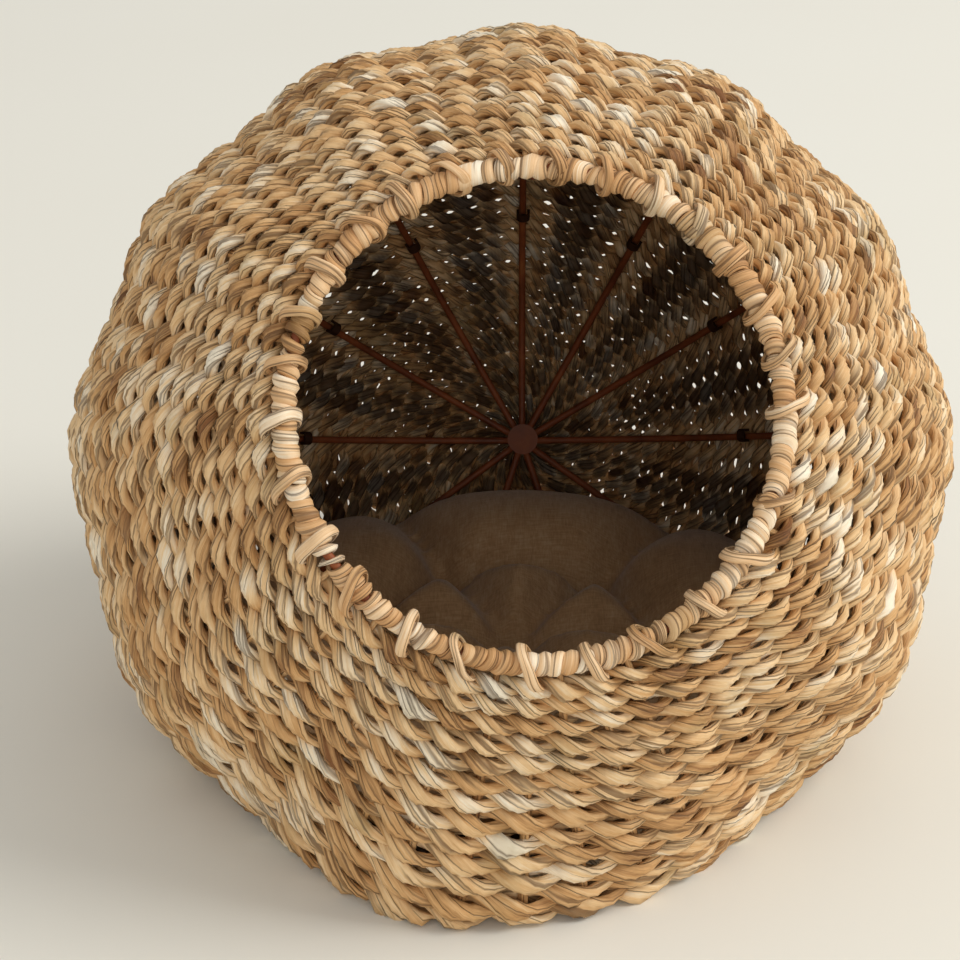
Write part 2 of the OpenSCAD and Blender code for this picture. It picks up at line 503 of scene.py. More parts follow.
@dataclass(frozen=True)
class Ball:
    """The woven ball's shape: a sphere and its foot cone, cut off by the floor.

    Points in the wall are found by row, angle and depth.

    A row fraction runs from 0 at the hub to 1 at the front ring. An angle is seen from the mouth,
    0 at the right and 90 at the top. Depth is measured inwards from the outside.
    """

    radius: float
    centre_z: float
    ring_r: float = 113.5 * MM
    ring_reach: float = 218.8 * MM
    foot_reach: float = 298 * MM
    foot_drop: float = 44.0
    foot_turn: float = -3.5
    foot_soft: float = 4 * MM
    floor_share: float = 0.85
    wall: float = 15.6 * MM
    middle: float = 6.6 * MM
    bulge: float = 3.2 * MM
    hub_fade: float = 0.25
    mouth_fade: float = 0.12
    rib_reach: float = 206.5 * MM
    mouth_tilt: float = 32.3
    mouth_turn: float = 4.0
    hub_drop: float = 20.5
    hub_turn: float = 2.0
    stakes_per_gap: int = 5
    rib_angles: tuple[float, ...] = (0, 30, 60, 90, 120, 150, 180, 216, 252, 288, 324)

    @staticmethod
    def aimed(turn: float, lift: float) -> np.ndarray:
        """Direction that faces forward, turned sideways and lifted, in degrees.

        Args:
            turn: degrees to the right.
            lift: degrees above level.

        Returns:
            A unit vector.
        """
        a, e = math.radians(turn), math.radians(lift)
        return np.array([math.sin(a) * math.cos(e), -math.cos(a) * math.cos(e), math.sin(e)])

    @cached_property
    def centre(self) -> np.ndarray:
        """The ball's centre.

        Returns:
            A point.
        """
        return np.array([0.0, 0.0, self.centre_z])

    @cached_property
    def mouth_dir(self) -> np.ndarray:
        """From the centre to the mouth's middle.

        Returns:
            A unit vector.
        """
        return self.aimed(self.mouth_turn, self.mouth_tilt)

    @cached_property
    def hub_dir(self) -> np.ndarray:
        """From the centre to where the ribs meet.

        Returns:
            A unit vector.
        """
        return self.aimed(180 - self.hub_turn, -self.hub_drop)

    @cached_property
    def over_dir(self) -> np.ndarray:
        """Square to the mouth's direction, on the short way round to the hub.

        Returns:
            A unit vector.
        """
        return unit(self.hub_dir - (self.hub_dir @ self.mouth_dir) * self.mouth_dir)

    @cached_property
    def hub_angle(self) -> float:
        """Angle between the mouth and the hub.

        Returns:
            The angle in radians.
        """
        return math.acos(self.hub_dir @ self.mouth_dir)

    @cached_property
    def ring_angle(self) -> float:
        """Half the angle that the front ring spans at the centre.

        Returns:
            The angle in radians.
        """
        return math.asin(self.ring_r / self.ring_reach)

    @cached_property
    def ring_z(self) -> float:
        """Distance of the ring's plane from the centre.

        Returns:
            The distance.
        """
        return self.ring_reach * math.cos(self.ring_angle)

    @cached_property
    def line_dir(self) -> np.ndarray:
        """Direction of the line from hub to mouth.

        Returns:
            A unit vector.
        """
        return unit(self.ring_z * self.mouth_dir - self.rib_reach * self.hub_dir)

    @cached_property
    def line_foot(self) -> np.ndarray:
        """The point of that line nearest the centre, from the centre.

        Returns:
            A vector.
        """
        hub = self.rib_reach * self.hub_dir
        return hub - (hub @ self.line_dir) * self.line_dir

    @cached_property
    def line_side(self) -> np.ndarray:
        """Square to the line, level, to the right seen from the mouth.

        Returns:
            A unit vector.
        """
        d = self.line_dir
        return unit(np.array([-d[1], d[0], 0.0]))

    @cached_property
    def line_up(self) -> np.ndarray:
        """Square to the line and to line_side, upwards.

        Returns:
            A unit vector.
        """
        return np.cross(self.line_dir, self.line_side)

    @cached_property
    def foot_dir(self) -> np.ndarray:
        """Axis of the foot cone, from the centre to its tip.

        Returns:
            A unit vector.
        """
        return self.aimed(self.foot_turn, -self.foot_drop)

    @cached_property
    def stake_angles(self) -> np.ndarray:
        """Angles of all the stakes at the mouth, then the first one again a turn later.

        Returns:
            Degrees, one more than there are stakes.
        """
        ends = [*self.rib_angles, 360.0]
        steps = (np.arange(self.stakes_per_gap) + 0.25) / self.stakes_per_gap
        angles = np.concatenate([a + (b - a) * steps for a, b in zip(ends[:-1], ends[1:])])
        return np.append(angles, angles[0] + 360.0)

    def angle_at(self, phase: np.ndarray, count: int) -> np.ndarray:
        """Angle at a place counted in stakes, where a row has `count` of them.

        Args:
            phase: places along the row.
            count: stakes in the row.

        Returns:
            Degrees.
        """
        total = len(self.stake_angles) - 1
        place = (phase * total / count) % total
        return np.interp(place, np.arange(total + 1), self.stake_angles)

    def aim(self, t: np.ndarray, angle: np.ndarray) -> np.ndarray:
        """Directions from the centre. Row and angle meet on the sphere in the middle of the wall.

        Args:
            t: row fractions.
            angle: angles in degrees.

        Returns:
            Unit vectors, one for each pair.
        """
        r = self.radius - self.wall / 2
        a = np.radians(angle)[..., None]
        out = np.cos(a) * self.line_side + np.sin(a) * self.line_up
        over = self.hub_angle + (self.ring_angle - self.hub_angle) * t
        under = 2 * math.pi - self.hub_angle + (self.ring_angle - 2 * math.pi + self.hub_angle) * t
        lean, spread = ((over - under) / 2)[..., None], (over + under) / 2
        normal = np.cos(lean) * self.mouth_dir + np.sin(lean) * self.over_dir
        nl, ne = normal @ self.line_dir, (normal * out).sum(-1)
        base = (r * np.cos(spread) - normal @ self.line_foot) / nl
        slope = -ne / nl
        fe = out @ self.line_foot
        qa, qb = 1 + slope ** 2, fe + base * slope
        qc = self.line_foot @ self.line_foot + base ** 2 - r ** 2
        x = (-qb + np.sqrt(np.maximum(qb ** 2 - qa * qc, 0.0))) / qa
        z = base + slope * x
        return unit(self.line_foot + x[..., None] * out + z[..., None] * self.line_dir)

    def reach(self, aim: np.ndarray, depth: np.ndarray) -> np.ndarray:
        """Distance from the centre to the wall at a depth, along directions.

        Args:
            aim: unit vectors.
            depth: depths below the outside.

        Returns:
            Distances.
        """
        half = math.asin(self.radius / self.foot_reach)
        off = np.arccos(np.clip(aim @ self.foot_dir, -1, 1))
        cone = (self.radius - depth) / np.sin(np.minimum(off, math.pi / 2 - half) + half)
        flat = (self.centre_z - self.floor_share * depth) / np.maximum(-aim[..., 2], 1e-3)
        h = np.clip(0.5 + 0.5 * (flat - cone) / self.foot_soft, 0, 1)
        return flat + (cone - flat) * h - self.foot_soft * h * (1 - h)

    def swell(self, t: np.ndarray, angle: np.ndarray, aim: np.ndarray) -> np.ndarray:
        """How far the wall stands out over the ribs and draws in between them.

        Args:
            t: row fractions.
            angle: angles in degrees.
            aim: unit vectors for both.

        Returns:
            Distances, below 0 between ribs.
        """
        ends = np.array([*self.rib_angles, 360.0])
        place = np.interp(angle % 360, ends, np.arange(len(ends)))
        f = place - np.floor(place)
        ends_fade = np.clip(t / self.hub_fade, 0, 1) * np.clip((1 - t) / self.mouth_fade, 0, 1)
        floor_fade = np.clip((aim[..., 2] + 0.8) / 0.3, 0, 1)
        return self.bulge * np.cos(2 * np.pi * f) * ends_fade * floor_fade

    def place(self, t: np.ndarray, angle: np.ndarray, depth: np.ndarray) -> np.ndarray:
        """Points in the wall, by row fraction, angle and depth.

        Args:
            t: row fractions.
            angle: angles in degrees.
            depth: depths below the outside.

        Returns:
            Points.
        """
        aim = self.aim(t, angle)
        return self.centre + aim * (self.reach(aim, depth) + self.swell(t, angle, aim))[..., None]


# ---------------------------------------------------------------- meshes


def wander(rng: np.random.Generator, knots: int, steps: int, spread: float) -> np.ndarray:
    """Smooth random values round a closed loop, one knot every `steps` samples.

    Args:
        rng: source of the values.
        knots: how many random values.
        steps: samples from one knot to the next.
        spread: standard deviation of the values.

    Returns:
        One value for each sample.
    """
    values = rng.normal(0.0, spread, knots)
    place = np.arange(knots * steps) / steps
    i = place.astype(int)
    f = place - i
    f = f * f * (3 - 2 * f)
    return values[i] * (1 - f) + values[(i + 1) % knots] * f


@dataclass
class Strands:
    """Gathers tubes of rings into one mesh with a map along each and a tint."""

    points: list[np.ndarray] = field(default_factory=list)
    quads: list[np.ndarray] = field(default_factory=list)
    maps: list[np.ndarray] = field(default_factory=list)
    tints: list[np.ndarray] = field(default_factory=list)
    caps: list[list[int]] = field(default_factory=list)
    count: int = 0

    def add(self, rings: np.ndarray, along: np.ndarray, tint: np.ndarray, closed: bool) -> None:
        """Adds one tube.

        Args:
            rings: points, rings by sides by 3.
            along: distance along the tube at each ring, in metres.
            tint: tint at each ring.
            closed: whether the last ring joins the first.
        """
        n, m, _ = rings.shape
        last = n if closed else n - 1
        i, j = np.meshgrid(np.arange(last), np.arange(m), indexing="ij")
        i2, j2 = (i + 1) % n, (j + 1) % m
        quad = np.stack([i * m + j, i * m + j2, i2 * m + j2, i2 * m + j], -1).reshape(-1, 4)
        mid = rings.mean(axis=1, keepdims=True)
        flat = rings.reshape(-1, 3)
        normal = np.cross(flat[quad[:, 1]] - flat[quad[:, 0]], flat[quad[:, 3]] - flat[quad[:, 0]])
        away = (rings - mid).reshape(-1, 3)[quad[:, 0]]
        inward = (normal * away).sum() < 0
        step = np.linalg.norm(rings[(np.arange(last) + 1) % n].mean(1) - rings[:last].mean(1), axis=1)
        u0, u1 = j / m, (j + 1) / m
        v0 = along[i]
        v1 = v0 + step[i]
        uv = np.stack([np.stack([u0, v0], -1), np.stack([u1, v0], -1),
                       np.stack([u1, v1], -1), np.stack([u0, v1], -1)], -2).reshape(-1, 4, 2)
        if inward:
            quad, uv = quad[:, ::-1], uv[:, ::-1]
        self.points.append(flat)
        self.quads.append(quad + self.count)
        self.maps.append(uv)
        self.tints.append(np.repeat(tint, m))
        if not closed:
            first = [self.count + k for k in range(m)]
            end = [self.count + (n - 1) * m + k for k in range(m)]
            self.caps += [first if inward else first[::-1], end[::-1] if inward else end]
        self.count += n * m

    def build(self, name: str) -> bpy.types.Object:
        """Makes the object.

        Args:
            name: the object's name.

        Returns:
            The object.
        """
        points, quads = np.concatenate(self.points), np.concatenate(self.quads)
        caps = self.caps
        corners = np.concatenate([quads.ravel(), np.array([k for c in caps for k in c], dtype=int)])
        sizes = np.concatenate([np.full(len(quads), 4), np.array([len(c) for c in caps], dtype=int)])
        mesh = bpy.data.meshes.new(name)
        mesh.vertices.add(len(points))
        mesh.vertices.foreach_set("co", points.astype(np.float32).ravel())
        mesh.loops.add(len(corners))
        mesh.loops.foreach_set("vertex_index", corners.astype(np.int32))
        mesh.polygons.add(len(sizes))
        mesh.polygons.foreach_set("loop_start", np.concatenate([[0], np.cumsum(sizes)[:-1]]).astype(np.int32))
        mesh.polygons.foreach_set("use_smooth", np.ones(len(sizes), dtype=bool))
        mesh.update(calc_edges=True)
        uv = mesh.uv_layers.new(name="UVMap")
        flat_uv = np.concatenate([np.concatenate(self.maps).reshape(-1, 2),
                                  np.zeros((len(corners) - quads.size, 2))])
        uv.data.foreach_set("uv", flat_uv.astype(np.float32).ravel())
        tint = mesh.attributes.new("tint", "FLOAT", "POINT")
        tint.data.foreach_set("value", np.concatenate(self.tints).astype(np.float32))
        mesh.validate()
        piece = bpy.data.objects.new(name, mesh)
        bpy.context.scene.collection.objects.link(piece)
        return piece


def dress(piece: bpy.types.Object, material: bpy.types.Material, body: Part, slot: str, *nodes: str) -> None:
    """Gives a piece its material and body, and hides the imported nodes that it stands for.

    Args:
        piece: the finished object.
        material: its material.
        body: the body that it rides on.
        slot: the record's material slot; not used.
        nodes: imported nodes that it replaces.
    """
    piece.data.materials.clear()
    piece.data.materials.append(material)
    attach(piece, body.value)
    if nodes:
        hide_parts(*nodes)
    LOG.info("%s: %d faces on %s", piece.name, len(piece.data.polygons), body.value)


# ---------------------------------------------------------------- weave


@dataclass
class Weave:
    """The wall: rows of two strands twined round the stakes, one half turn at each stake."""

    ball: Ball
    rows: int = 59
    courses: int = 12
    last_t: float = 0.9805
    steps: int = 6
    sides: int = 10
    swing: float = 3.7 * MM
    lean: float = 2.5 * MM
    half_thick: float = 2.65 * MM
    half_wide: float = 4.2 * MM
    length: float = 587.925 * MM
    sizes: tuple[tuple[float, float], ...] = ((0.085, 1.3), (0.5, 1.1), (2.0, 1.0))
    seed: int = 11

    def stakes_in_row(self, t: float) -> int:
        """How many stakes a row passes: fewer near the hub.

        Args:
            t: row fraction.

        Returns:
            The count.
        """
        near_hub = math.sin(math.pi * min(t, 0.5)) * self.ball.radius
        for limit, count in ((16 * MM, 11), (42 * MM, 22), (74 * MM, 33)):
            if near_hub < limit:
                return count
        return len(self.ball.stake_angles) - 1

    def strand(self, out: Strands, rng: np.random.Generator, t: float, count: int, phase: float,
               shift: float, size: float, tone: float) -> None:
        """Adds one strand, once round the row, or twice where the count is odd.

        Args:
            out: the mesh to add to.
            rng: source of the strand's small irregularities.
            t: row fraction.
            count: stakes in the row.
            phase: half turns at the start.
            shift: how far the row's twists sit from the stakes, in stakes.
            size: scale of the strand's section.
            tone: added to the strand's tint.
        """
        halves = 2 * count if count % 2 else count
        s = np.arange(halves * self.steps) / self.steps + phase
        turn = np.pi * s
        leaf = 0.82 + 0.24 * np.cos(turn) ** 2
        wide = self.half_wide * size * leaf * (1 + wander(rng, halves, self.steps, 0.13))
        thick = self.half_thick * size * (1 + wander(rng, halves, self.steps, 0.12))
        swing = self.swing + wander(rng, halves, self.steps, 0.3 * MM)
        lean = self.lean * size + wander(rng, halves, self.steps, 0.25 * MM)
        drift = wander(rng, halves, self.steps, 0.45 * MM)
        spin = wander(rng, halves, self.steps, 0.9) + s * 0.55
        a = np.arange(self.sides) / self.sides * 2 * np.pi
        ridge = (1 + 0.10 * np.cos(3 * a[None] + spin[:, None])
                 + 0.06 * np.cos(5 * a[None] - 1.7 * spin[:, None]))
        r_part = thick[:, None] * np.cos(a)[None] * ridge
        t_part = wide[:, None] * np.sin(a)[None] * ridge
        c, d = np.cos(turn)[:, None], np.sin(turn)[:, None]
        u = swing[:, None] * np.sign(c) * np.abs(c) ** 0.8 + c * r_part - d * t_part
        v = lean[:, None] * d + drift[:, None] + d * r_part + c * t_part
        angle = self.ball.angle_at(s - phase + shift, count)
        depth = self.ball.middle - u
        rings = self.ball.place(t - v / self.length, np.repeat(angle[:, None], self.sides, 1), depth)
        along = np.concatenate([[0], np.cumsum(np.linalg.norm(np.diff(rings.mean(1), axis=0), axis=1))])
        tint = 0.5 + tone + wander(rng, halves, self.steps, 0.17)
        out.add(rings, along + rng.uniform(0, 9), tint, True)

    def row(self, out: Strands, rng: np.random.Generator, t: float, count: int) -> None:
        """Adds one row's two strands, or the one that goes round twice where the count is odd.

        Args:
            out: the mesh to add to.
            rng: source of the irregularities.
            t: row fraction.
            count: stakes in the row.
        """
        tone, shift = rng.normal(0, 0.05), rng.normal(0, 0.09)
        size = next(size for limit, size in self.sizes if t < limit)
        for phase in (0.0,) if count % 2 else (0.0, 1.0):
            self.strand(out, rng, t, count, phase, shift, size, tone)

    def build(self, material: bpy.types.Material) -> None:
        """Builds the courses, each in place of its two packed runs.

        Args:
            material: the strands' material.
        """
        rng = np.random.default_rng(self.seed)
        fractions = (np.arange(self.rows) + 0.5) / self.rows * self.last_t
        first_t = 0.5 / self.rows * self.last_t
        fractions = first_t + (fractions - first_t) * (self.last_t - first_t) / (fractions[-1] - first_t)
        for course in range(self.courses):
            out = Strands()
            for t in fractions[(fractions * self.courses).astype(int) == course]:
                wobble = rng.normal(0, 0.0006)
                self.row(out, rng, t + wobble, self.stakes_in_row(t))
            piece = out.build(f"woven_course_{course + 1:02d}")
            dress(piece, material, Part.BASKET, "seagrass_weave",
                  f"course_{course + 1:02d}", f"backing_{course + 1:02d}")


@dataclass
class Stakes:
    """The canes that the rows are twined round."""

    ball: Ball
    radius: float = 1.65 * MM
    rings: int = 44
    sides: int = 7
    seed: int = 5

    def build(self, material: bpy.types.Material) -> None:
        """Builds one piece for each gap between ribs.

        Args:
            material: the canes' material.
        """
        rng = np.random.default_rng(self.seed)
        per_gap = self.ball.stakes_per_gap
        starts = {2: 0.03, 1: 0.075, 3: 0.075, 0: 0.125, 4: 0.125}
        for gap in range(len(self.ball.rib_angles)):
            out = Strands()
            for i in range(per_gap):
                angle = self.ball.stake_angles[gap * per_gap + i]
                self.stake(out, rng, angle, starts[i])
            piece = out.build(f"cane_stakes_{gap + 1:02d}")
            dress(piece, material, Part.BASKET, "cane_stake", f"stakes_{gap + 1:02d}")

    def stake(self, out: Strands, rng: np.random.Generator, angle: float, start: float) -> None:
        """Adds one stake from near the hub to the front ring.

        Args:
            out: the mesh to add to.
            rng: source of the irregularities.
            angle: degrees at the mouth.
            start: row fraction at which it starts.
        """
        t = np.linspace(start, 0.992, self.rings)
        a = np.arange(self.sides) / self.sides * 2 * np.pi
        far = np.maximum(np.sin(np.pi * np.minimum(t, 0.84) / 1.03) * self.ball.radius, 0.02)
        sway = np.degrees(self.radius / far)
        knots = np.arange(0, self.rings, 4)
        swing = np.interp(np.arange(self.rings), knots, rng.normal(0, 0.35, len(knots)))
        angles = angle + (sway * swing)[:, None] + sway[:, None] * np.sin(a)
        depth = self.ball.middle + self.radius * np.cos(a)[None] * np.ones((self.rings, 1))
        rings = self.ball.place(np.repeat(t[:, None], self.sides, 1), angles, depth)
        along = np.linspace(0, 0.5, self.rings)
        tint = 0.45 + rng.normal(0, 0.08) + np.zeros(self.rings)
        out.add(rings, along, tint, False)


# ---------------------------------------------------------------- mouth


@dataclass
class Rim:
    """The wrapping round the front ring and the lashings that tie it to the first row."""

    ball: Ball
    turns: int = 118
    steps: int = 18
    sides: int = 12
    middle: float = 3.7 * MM
    half_wide: float = 3.7 * MM
    half_thick: float = 2.0 * MM
    lashings: int = 27
    lashing_half: float = 1.25 * MM
    outer_r: float = 120 * MM
    length: float = 588 * MM
    seed: int = 23

    def ring_frame(self) -> tuple[np.ndarray, np.ndarray, np.ndarray, np.ndarray]:
        """Middle of the ring, its right, its up and its axis.

        Returns:
            A point and three unit vectors.
        """
        axis = self.ball.mouth_dir
        up = unit(np.array([0, 0, 1.0]) - axis[2] * axis)
        right = np.cross(up, axis)
        return self.ball.centre + self.ball.ring_z * axis, right, up, axis

    def wrapping(self, material: bpy.types.Material) -> None:
        """One long flat strand wound round the ring, a little differently at each turn.

        Args:
            material: the strips' material.
        """
        rng = np.random.default_rng(self.seed)
        middle, right, up, axis = self.ring_frame()
        n = self.turns * self.steps
        s = np.arange(n) / self.steps
        wide = self.half_wide * (1 + wander(rng, self.turns, self.steps, 0.2))
        thick = self.half_thick * (1 + wander(rng, self.turns, self.steps, 0.14))
        reach = self.middle + wander(rng, self.turns, self.steps, 0.45 * MM)
        slant = 0.22 + wander(rng, self.turns, self.steps, 0.16)
        section = 2 * np.pi * s
        round_ring = 2 * np.pi * (s + slant * np.sin(section)) / self.turns
        a = np.arange(self.sides) / self.sides * 2 * np.pi
        spin = wander(rng, self.turns, self.steps, 1.5)
        ridge = (1 + 0.12 * np.cos(3 * a[None] + spin[:, None])
                 + 0.07 * np.cos(5 * a[None] - spin[:, None]))
        psi = round_ring[:, None] + wide[:, None] * np.sin(a)[None] * ridge / self.ball.ring_r
        far = reach[:, None] + thick[:, None] * np.cos(a)[None] * ridge
        out_dir = np.cos(psi)[..., None] * right + np.sin(psi)[..., None] * up
        rings = (middle + self.ball.ring_r * out_dir
                 + (far * np.cos(section)[:, None])[..., None] * out_dir
                 + (far * np.sin(section)[:, None])[..., None] * axis)
        along = np.concatenate([[0], np.cumsum(np.linalg.norm(np.diff(rings.mean(1), axis=0), axis=1))])
        tint = 0.52 + wander(rng, self.turns, self.steps, 0.17)
        out = Strands()
        out.add(rings, along, tint, True)
        dress(out.build("rim_wrapping"), material, Part.BASKET, "seagrass_rim", "rim_wrap")

    def lashing(self, material: bpy.types.Material) -> None:
        """Loops round both the ring and the first row.

        Args:
            material: the strips' material.
        """
        rng = np.random.default_rng(self.seed + 1)
        out = Strands()
        n = 28
        beta = np.arange(n) / n * 2 * np.pi
        a = np.arange(self.sides) / self.sides * 2 * np.pi
        angles = self.ball.stake_angles[:-1:2][:self.lashings]
        half = self.lashing_half * np.cos(a)[None]
        for angle in angles:
            length = rng.normal(8.2, 0.8) * MM
            along_row = 2.0 * MM + length * np.sign(np.cos(beta)) * np.abs(np.cos(beta)) ** 0.8
            height = 8.6 * MM * np.sign(np.sin(beta)) * np.abs(np.sin(beta)) ** 0.75
            twist = rng.normal(3.0, 1.5)
            across = twist * np.cos(beta) * 0.6
            wide = rng.normal(2.7, 0.3) * MM
            ridge = 1 + 0.12 * np.cos(3 * a[None] + rng.uniform(0, 6))
            depth = 7.0 * MM - height[:, None] - half * np.sin(beta)[:, None] * ridge
            t = 1.0 - (along_row[:, None] + half * np.cos(beta)[:, None] * ridge) / self.length
            turn = np.degrees(wide / self.outer_r) * np.sin(a)[None] * ridge + across[:, None]
            turn = turn + angle + rng.normal(0, 0.4)
            rings = self.ball.place(t, turn, depth)
            steps = np.linalg.norm(np.diff(rings.mean(1), axis=0), axis=1)
            out.add(rings, np.concatenate([[0], np.cumsum(steps)]) + rng.uniform(0, 3),
                    np.full(n, 0.52 + rng.normal(0, 0.1)), True)
        dress(out.build("rim_lashing_strips"), material, Part.BASKET, "seagrass_rim", "rim_lashings")


# ---------------------------------------------------------------- wire frame


@dataclass
class RibWires:
    """The wires inside the wall, from the hub to the front ring."""

    ball: Ball
    radius: float = 2.0 * MM
    depth: float = 18.6 * MM
    rings: int = 90
    sides: int = 12

    def build(self, material: bpy.types.Material) -> None:
        """Builds one round wire in place of each packed rib.

        Args:
            material: the wires' material.
        """
        t = np.append(np.linspace(0.012, 0.972, self.rings), [0.984, 0.992, 0.997, 1.0])
        depth = np.append(np.full(self.rings, self.depth), np.array([18.0, 16.0, 12.5, 8.6]) * MM)
        a = np.arange(self.sides) / self.sides * 2 * np.pi
        for number, angle in enumerate(self.ball.rib_angles):
            path = self.ball.place(t, np.full(len(t), float(angle)), depth)
            along = unit(np.gradient(path, axis=0))
            side = unit(np.cross(along, self.ball.aim(t, np.full(len(t), float(angle)))))
            up = np.cross(side, along)
            rings = path[:, None] + self.radius * (np.cos(a)[None, :, None] * side[:, None]
                                                   + np.sin(a)[None, :, None] * up[:, None])
            out = Strands()
            out.add(rings, np.linspace(0, 0.6, len(t)), np.full(len(t), 0.5), False)
            piece = out.build(f"rib_wire_{number + 1:02d}")
            dress(piece, material, Part.BASKET, "frame_wire", f"rib_{number + 1:02d}")


# ---------------------------------------------------------------- cushion


@dataclass
class Cushion:
    """A round tufted cushion: puffed lobes between tufts and creases, blown up as cloth."""

    ball: Ball
    edge_z: float = 34 * MM
    edge_r: float = 168 * MM
    base_z: float = 19 * MM
    crown: float = 34 * MM
    tuft_ring: float = 85 * MM
    tufts: int = 6
    tuft_turn: float = 55.0
    bowl_r: float = 202 * MM
    pressure: float = 4.0
    most: float = 16 * MM
    tuft_held: float = 7 * MM
    base_held: float = 5 * MM
    voxel: float = 5 * MM
    frames: int = 20

    def tuft_places(self) -> np.ndarray:
        """The tufts' places from above: one in the middle and a ring round it.

        Returns:
            Points in plan, the middle one first.
        """
        a = np.radians(self.tuft_turn + 360 * np.arange(self.tufts) / self.tufts)
        ring = self.tuft_ring * np.stack([np.cos(a), np.sin(a)], -1)
        return np.concatenate([[[0.0, 0.0]], ring])

    def crease_distance(self, xy: np.ndarray) -> np.ndarray:
        """Distance from the nearest crease: spokes from the middle, the ring of chords, and out to the edge.

        Args:
            xy: points in plan.

        Returns:
            Distances.
        """
        places = self.tuft_places()
        best = np.full(len(xy), 1.0)
        for k in range(self.tufts):
            here, there = places[1 + k], places[1 + (k + 1) % self.tufts]
            far = here / np.linalg.norm(here) * self.edge_r
            for a, b in ((places[0], here), (here, there), (here, far)):
                ab = b - a
                f = np.clip(((xy - a) @ ab) / (ab @ ab), 0, 1)
                best = np.minimum(best, np.linalg.norm(xy - a - f[:, None] * ab, axis=1))
        return best

    def shape(self, points: np.ndarray) -> np.ndarray:
        """Turns points of a unit sphere into the cushion's closed form.

        Args:
            points: points of the unit sphere.

        Returns:
            Points of the cushion.
        """
        flat = points[:, :2]
        far = np.linalg.norm(flat, axis=1)
        q = np.clip(far, 1e-6, 1) ** 0.9
        xy = flat / np.maximum(far, 1e-6)[:, None] * (q * self.edge_r)[:, None]
        r = np.linalg.norm(xy, axis=1)
        crease = self.crease_distance(xy)
        tuft = np.min(np.linalg.norm(xy[:, None] - self.tuft_places()[None], axis=2), axis=1)
        puff = 1 - np.exp(-(crease / (15 * MM)) ** 1.1)
        top = self.edge_z + self.crown * puff * np.sqrt(np.clip(1 - (r / self.edge_r) ** 6, 0, 1))
        top = top - 13 * MM * np.exp(-(tuft / (16 * MM)) ** 2)
        bowl = self.ball.centre_z - np.sqrt(self.bowl_r ** 2 - r ** 2)
        low = np.maximum(bowl, self.base_z)
        z = np.where(points[:, 2] >= 0, np.maximum(top, low + 1 * MM), low)
        z = np.where(far > 0.999, self.edge_z * 0.97, z)
        return np.column_stack([xy, z])

    @staticmethod
    def read(piece: bpy.types.Object) -> np.ndarray:
        """The piece's points.

        Args:
            piece: the object.

        Returns:
            Points, one in each row.
        """
        co = np.empty(len(piece.data.vertices) * 3)
        piece.data.vertices.foreach_get("co", co)
        return co.reshape(-1, 3)

    @staticmethod
    def write(piece: bpy.types.Object, co: np.ndarray) -> None:
        """Puts the piece's points back.

        Args:
            piece: the object.
            co: points, one in each row.
        """
        piece.data.vertices.foreach_set("co", co.ravel())
        piece.data.update()

    def modified(self, piece: bpy.types.Object, kind: str, **settings: object) -> None:
        """Adds a modifier and applies it.

        Args:
            piece: the active object.
            kind: the modifier's type.
            settings: its properties.
        """
        modifier = piece.modifiers.new(kind.lower(), kind)
        for key, value in settings.items():
            setattr(modifier, key, value)
        bpy.ops.object.modifier_apply(modifier=modifier.name)

    def inside_bowl(self, co: np.ndarray) -> np.ndarray:
        """Moves points that would reach into the wall or the floor back inside.

        Args:
            co: points.

        Returns:
            The points, inside.
        """
        rel = co - self.ball.centre
        far = np.linalg.norm(rel, axis=1, keepdims=True)
        co = self.ball.centre + rel * np.minimum(1, self.bowl_r / far)
        co[:, 2] = np.maximum(co[:, 2], self.base_z)
        return co

    def inflate(self, piece: bpy.types.Object) -> None:
        """Blows the cushion up as cloth that is held at the tufts and underneath.

        Args:
            piece: the active object.
        """
        start = self.read(piece)
        tuft = np.min(np.linalg.norm(start[:, None, :2] - self.tuft_places()[None], axis=2), axis=1)
        held = (tuft < self.tuft_held) | (start[:, 2] < self.base_z + self.base_held)
        group = piece.vertex_groups.new(name="held")
        group.add([int(k) for k in np.flatnonzero(held)], 1.0, "REPLACE")
        cloth = piece.modifiers.new("cloth", "CLOTH")
        cloth.settings.quality = 6
        cloth.settings.use_pressure = True
        cloth.settings.uniform_pressure_force = self.pressure
        cloth.settings.vertex_group_mass = "held"
        cloth.settings.bending_stiffness = 0.4
        cloth.settings.effector_weights.gravity = 0.0
        cloth.point_cache.frame_end = self.frames
        for frame_number in range(1, self.frames + 1):
            bpy.context.scene.frame_set(frame_number)
        bpy.ops.object.modifier_apply(modifier=cloth.name)
        bpy.context.scene.frame_set(1)
        moved = self.read(piece) - start
        far = np.linalg.norm(moved, axis=1, keepdims=True)
        self.write(piece, start + moved * np.minimum(1, self.most / np.maximum(far, 1e-9)))

    def build(self, cloth: bpy.types.Material) -> None:
        """Builds the cushion in place of its panels, filling and ties.

        Args:
            cloth: the cover's material.
        """
        bpy.ops.object.select_all(action="DESELECT")
        bpy.ops.mesh.primitive_uv_sphere_add(segments=160, ring_count=120, radius=1.0)
        piece = bpy.context.object
        piece.name = "tufted_cushion"
        self.write(piece, self.shape(self.read(piece)))
        self.modified(piece, "REMESH", mode="VOXEL", voxel_size=self.voxel)
        self.inflate(piece)
        self.modified(piece, "SUBSURF", levels=1)
        self.write(piece, self.inside_bowl(self.read(piece)))
        bpy.ops.object.shade_smooth()
        dress(piece, cloth, Part.CUSHION, "linen", "cushion_top_panel", "cushion_base_panel",
              "cushion_filling", "cushion_tuft_ties")


# ---------------------------------------------------------------- floor, light, camera


@dataclass(frozen=True)
class Lamp:
    """A square area light that faces the ball; the colour is linear."""

    name: str
    place: tuple[float, float, float]
    size: float
    power: float
    colour: tuple[float, float, float]


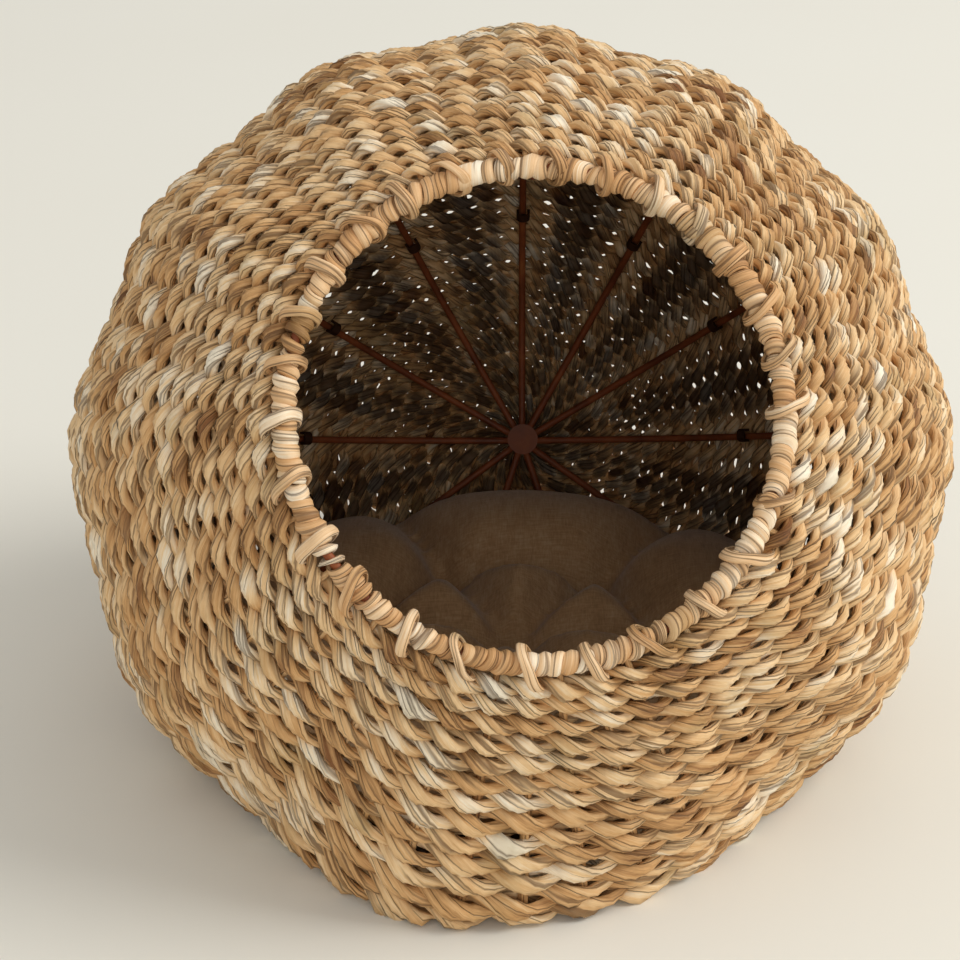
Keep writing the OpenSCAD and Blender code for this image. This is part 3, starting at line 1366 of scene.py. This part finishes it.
@dataclass
class Stage:
    """A pale floor, a soft key light from the right, a weak fill from the front, and the camera."""

    ball: Ball
    distance: float = 1.4
    lift: float = 25.0
    lens: float = 100.9
    shift: tuple[float, float] = (-0.0328, -0.0146)
    floor_side: float = 14.0
    sky: tuple[float, float, float, float] = (1.0, 0.995, 0.975, 1.0)
    sky_strength: float = 0.62
    lamps: tuple[Lamp, ...] = (Lamp("key", (4.2, -0.35, 3.7), 3.2, 196.0, (1.0, 0.985, 0.95)),
                               Lamp("fill", (0.6, -4.5, 1.5), 3.0, 34.0, (1.0, 0.96, 0.9)))

    def floor(self) -> None:
        """Lays the floor."""
        bpy.ops.mesh.primitive_plane_add(size=self.floor_side)
        floor = bpy.context.object
        floor.name = "floor"
        s = Shader("pale_floor", 0.9, Specular_IOR_Level=0.1)
        patch = s.noise(s.place(), 3.0)
        colour = s.mix(patch, rgb("eae8df"), rgb("e8e5db"))
        floor.data.materials.append(s.finish(colour, patch, 0.0001))

    def hang(self, lamp: Lamp) -> None:
        """Adds one light.

        Args:
            lamp: what it is and where it hangs.
        """
        data = bpy.data.lights.new(lamp.name, "AREA")
        data.size = lamp.size
        data.energy = lamp.power
        data.color = lamp.colour
        light = bpy.data.objects.new(lamp.name, data)
        bpy.context.scene.collection.objects.link(light)
        light.location = lamp.place
        towards = Vector(self.ball.centre) - Vector(lamp.place)
        light.rotation_euler = towards.to_track_quat("-Z", "Y").to_euler()

    def build(self) -> None:
        """Makes the floor, the lights and the camera."""
        self.floor()
        world = bpy.data.worlds.new("studio")
        bpy.context.scene.world = world
        world.use_nodes = True
        world.node_tree.nodes["Background"].inputs[0].default_value = self.sky
        world.node_tree.nodes["Background"].inputs[1].default_value = self.sky_strength
        for lamp in self.lamps:
            self.hang(lamp)
        bpy.context.scene.view_settings.view_transform = "Standard"
        data = bpy.data.cameras.new("camera")
        data.lens = self.lens
        data.sensor_width = 36.0
        data.shift_x, data.shift_y = self.shift
        camera = bpy.data.objects.new("camera", data)
        bpy.context.scene.collection.objects.link(camera)
        e = math.radians(self.lift)
        target = Vector((0, 0, self.ball.centre_z))
        place = target + self.distance * Vector((0, -math.cos(e), math.sin(e)))
        camera.location = place
        camera.rotation_euler = (target - place).to_track_quat("-Z", "Y").to_euler()
        bpy.context.scene.camera = camera


def main() -> None:
    """Builds the pet cave's looks in order."""
    logging.basicConfig(level=logging.INFO, format="%(message)s")
    bpy.ops.object.select_all(action="DESELECT")
    low, high = CAD_BOX
    radius = (high.x - low.x) / 2
    ball = Ball(radius=radius, centre_z=high.z - radius)
    Stage(ball).build()
    seagrass = Seagrass("seagrass_weave").make(ball)
    # the rim keeps all of its colour inside: no painted shade there
    rim_grass = Seagrass("seagrass_rim", tan="d0a06c", straw="ebc79b", inside=1.0).make(ball)
    cane = Seagrass("cane_stake", shift=-0.05).make(ball)
    wire = PaintedWire().make()
    Weave(ball).build(seagrass)
    Stakes(ball).build(cane)
    rim = Rim(ball)
    rim.wrapping(rim_grass)
    rim.lashing(rim_grass)
    RibWires(ball).build(wire)
    Cushion(ball).build(Linen().make())
    for name in ("front_ring", "back_hub"):
        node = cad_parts[name]
        node.data.materials.clear()
        node.data.materials.append(wire)
    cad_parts["rib_ties"].data.materials.clear()
    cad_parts["rib_ties"].data.materials.append(seagrass)


if __name__ == "__main__":
    main()
